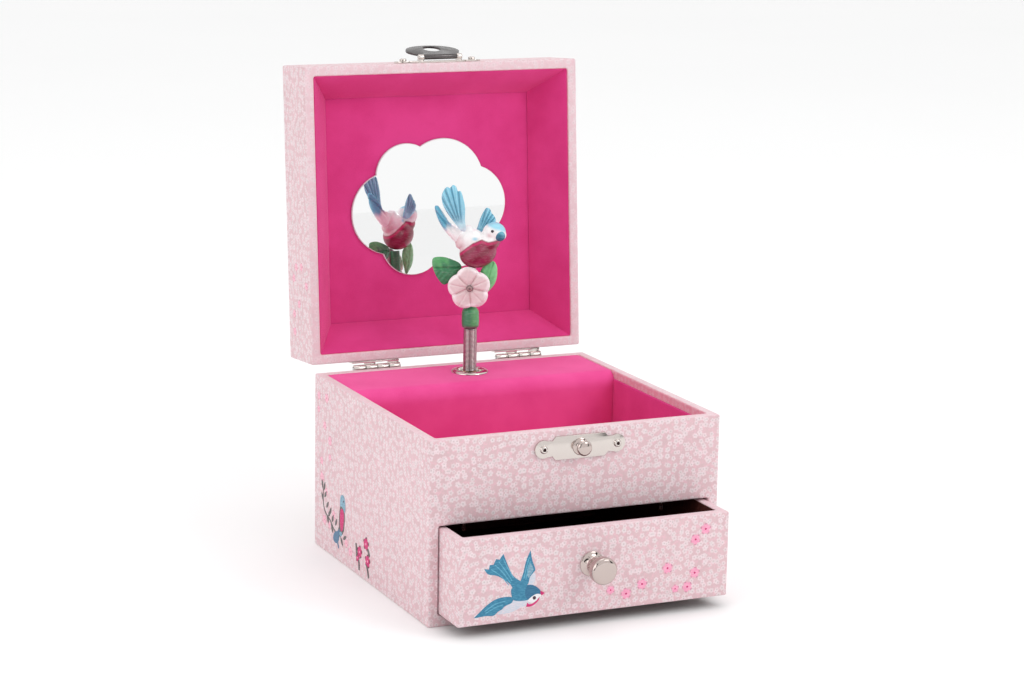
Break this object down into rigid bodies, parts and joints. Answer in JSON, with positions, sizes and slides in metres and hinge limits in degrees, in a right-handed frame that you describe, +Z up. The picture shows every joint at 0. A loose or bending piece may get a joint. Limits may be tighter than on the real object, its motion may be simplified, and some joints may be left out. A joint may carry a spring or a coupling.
{
  "type": "musical jewellery box",
  "caption": "Square paper-covered musical jewellery box with a hinged mirror lid, lined tray, sliding drawer and a bird-on-flower figure turned by a wind-up movement.",
  "frame": {"origin": "middle of the flat underside that the box rests on", "axes": "+X to the right seen from the drawer side, +Y towards the hinges, +Z up"},
  "size_m": [0.12, 0.1885, 0.1982],
  "materials": {
    "printed_paper": "matt coated paper, small white blossom print",
    "dark_board": "matt dark paper over board",
    "lining": "velvety flock paper",
    "nickel": "bright nickel plate",
    "steel": "plain steel",
    "brass": "machined brass",
    "mirror": "silvered glass",
    "green_paint": "hand-painted satin",
    "petal_paint": "hand-painted satin",
    "red_paint": "hand-painted satin",
    "blue_paint": "hand-painted satin with darker feather strokes"
  },
  "bodies": {
    "base": {"bottom_board": "printed_paper", "left_board": "printed_paper", "right_board": "printed_paper", "back_board": "printed_paper", "front_board": "printed_paper", "tray_shelf": "dark_board", "tray_floor_pad": "lining", "tray_lining_left": "lining", "tray_lining_right": "lining", "tray_lining_front": "lining", "movement_cover": "lining", "shaft_grommet": "nickel", "base_hinge_leaf_left": "nickel", "base_hinge_leaf_right": "nickel", "hinge_pin_left": "steel", "hinge_pin_right": "steel", "latch_plate": "nickel", "latch_stud": "nickel", "drawer_stop_pin_left": "steel", "drawer_stop_pin_right": "steel", "bedplate": "steel", "comb": "steel", "spring_housing": "brass", "mainspring": "steel"},
    "lid": {"lid_top_panel": "printed_paper", "lid_front_wall": "printed_paper", "lid_back_wall": "printed_paper", "lid_left_wall": "printed_paper", "lid_right_wall": "printed_paper", "lid_liner_front": "lining", "lid_liner_back": "lining", "lid_liner_left": "lining", "lid_liner_right": "lining", "lid_liner_ceiling": "lining", "lid_mirror": "mirror", "lid_hinge_leaf_left": "nickel", "lid_hinge_leaf_right": "nickel", "hasp_plate": "nickel"},
    "hasp": {"hasp_flap": "nickel"},
    "drawer": {"drawer_front": "printed_paper", "drawer_left_side": "printed_paper", "drawer_right_side": "printed_paper", "drawer_back": "dark_board", "drawer_bottom": "dark_board", "drawer_knob": "nickel"},
    "key": {"winding_key": "brass", "great_wheel": "brass"},
    "spindle": {"drive_spindle": "brass"},
    "cylinder": {"music_cylinder": "brass"},
    "governor": {"governor_fan": "brass"},
    "stop": {"stop_wire": "steel"},
    "spring_lower": {"spring_shaft_lower": "nickel"},
    "spring_upper": {"spring_shaft_upper": "nickel"},
    "figure": {"flower": "petal_paint", "stem_and_leaves": "green_paint", "bird_body": "red_paint", "bird_tail": "blue_paint", "bird_wing_right": "blue_paint", "bird_wing_left": "blue_paint"}
  },
  "joints": [
    {"name": "lid_hinge", "type": "hinge", "parent": "base", "child": "lid", "pos_m": [0, 0.0627, 0.07085], "axis": [1, 0, 0], "range_deg": [0, 94.57]},
    {"name": "hasp_hinge", "type": "hinge", "parent": "lid", "child": "hasp", "pos_m": [0, 0.07631, 0.19526], "axis": [1, 0, 0], "range_deg": [0, 166]},
    {"name": "drawer_slide", "type": "slide", "parent": "base", "child": "drawer", "axis": [0, -1, 0], "range_m": [-0.01738, 0.0767]},
    {"name": "key_spin", "type": "hinge", "parent": "base", "child": "key", "pos_m": [0, 0.06, 0.056], "axis": [0, 1, 0], "continuous": true},
    {"name": "spindle_spin", "type": "hinge", "parent": "base", "child": "spindle", "pos_m": [0, 0.0417, 0.06], "axis": [0, 0, 1], "continuous": true},
    {"name": "cylinder_spin", "type": "hinge", "parent": "base", "child": "cylinder", "pos_m": [0.027, 0.0417, 0.056], "axis": [1, 0, 0], "continuous": true},
    {"name": "governor_spin", "type": "hinge", "parent": "base", "child": "governor", "pos_m": [0.046, 0.0497, 0.056], "axis": [0, 0, 1], "continuous": true},
    {"name": "stop_slide", "type": "slide", "parent": "base", "child": "stop", "axis": [0, 0, -1], "range_m": [0, 0.0011]},
    {"name": "spring_lower_bend", "type": "hinge", "parent": "base", "child": "spring_lower", "pos_m": [0, 0.0417, 0.074], "axis": [1, 0, 0], "range_deg": [0, 73.5]},
    {"name": "spring_upper_bend", "type": "hinge", "parent": "spring_lower", "child": "spring_upper", "pos_m": [0, 0.0417, 0.085], "axis": [1, 0, 0], "range_deg": [0, 31.5]},
    {"name": "figure_spin", "type": "hinge", "parent": "spring_upper", "child": "figure", "pos_m": [0, 0.0417, 0.11], "axis": [0, 0, 1], "continuous": true}
  ],
  "couplings": [
    {"joint": "spindle_spin", "follows": "key_spin", "ratio": -3.5},
    {"joint": "cylinder_spin", "follows": "key_spin", "ratio": -3.5},
    {"joint": "governor_spin", "follows": "key_spin", "ratio": 42},
    {"joint": "figure_spin", "follows": "key_spin", "ratio": -3.5},
    {"joint": "stop_slide", "follows": "lid_hinge", "m_per_rad": 0.00066644},
    {"joint": "spring_lower_bend", "follows": "lid_hinge", "ratio": 0.7772},
    {"joint": "spring_upper_bend", "follows": "lid_hinge", "ratio": 0.33309}
  ]
}
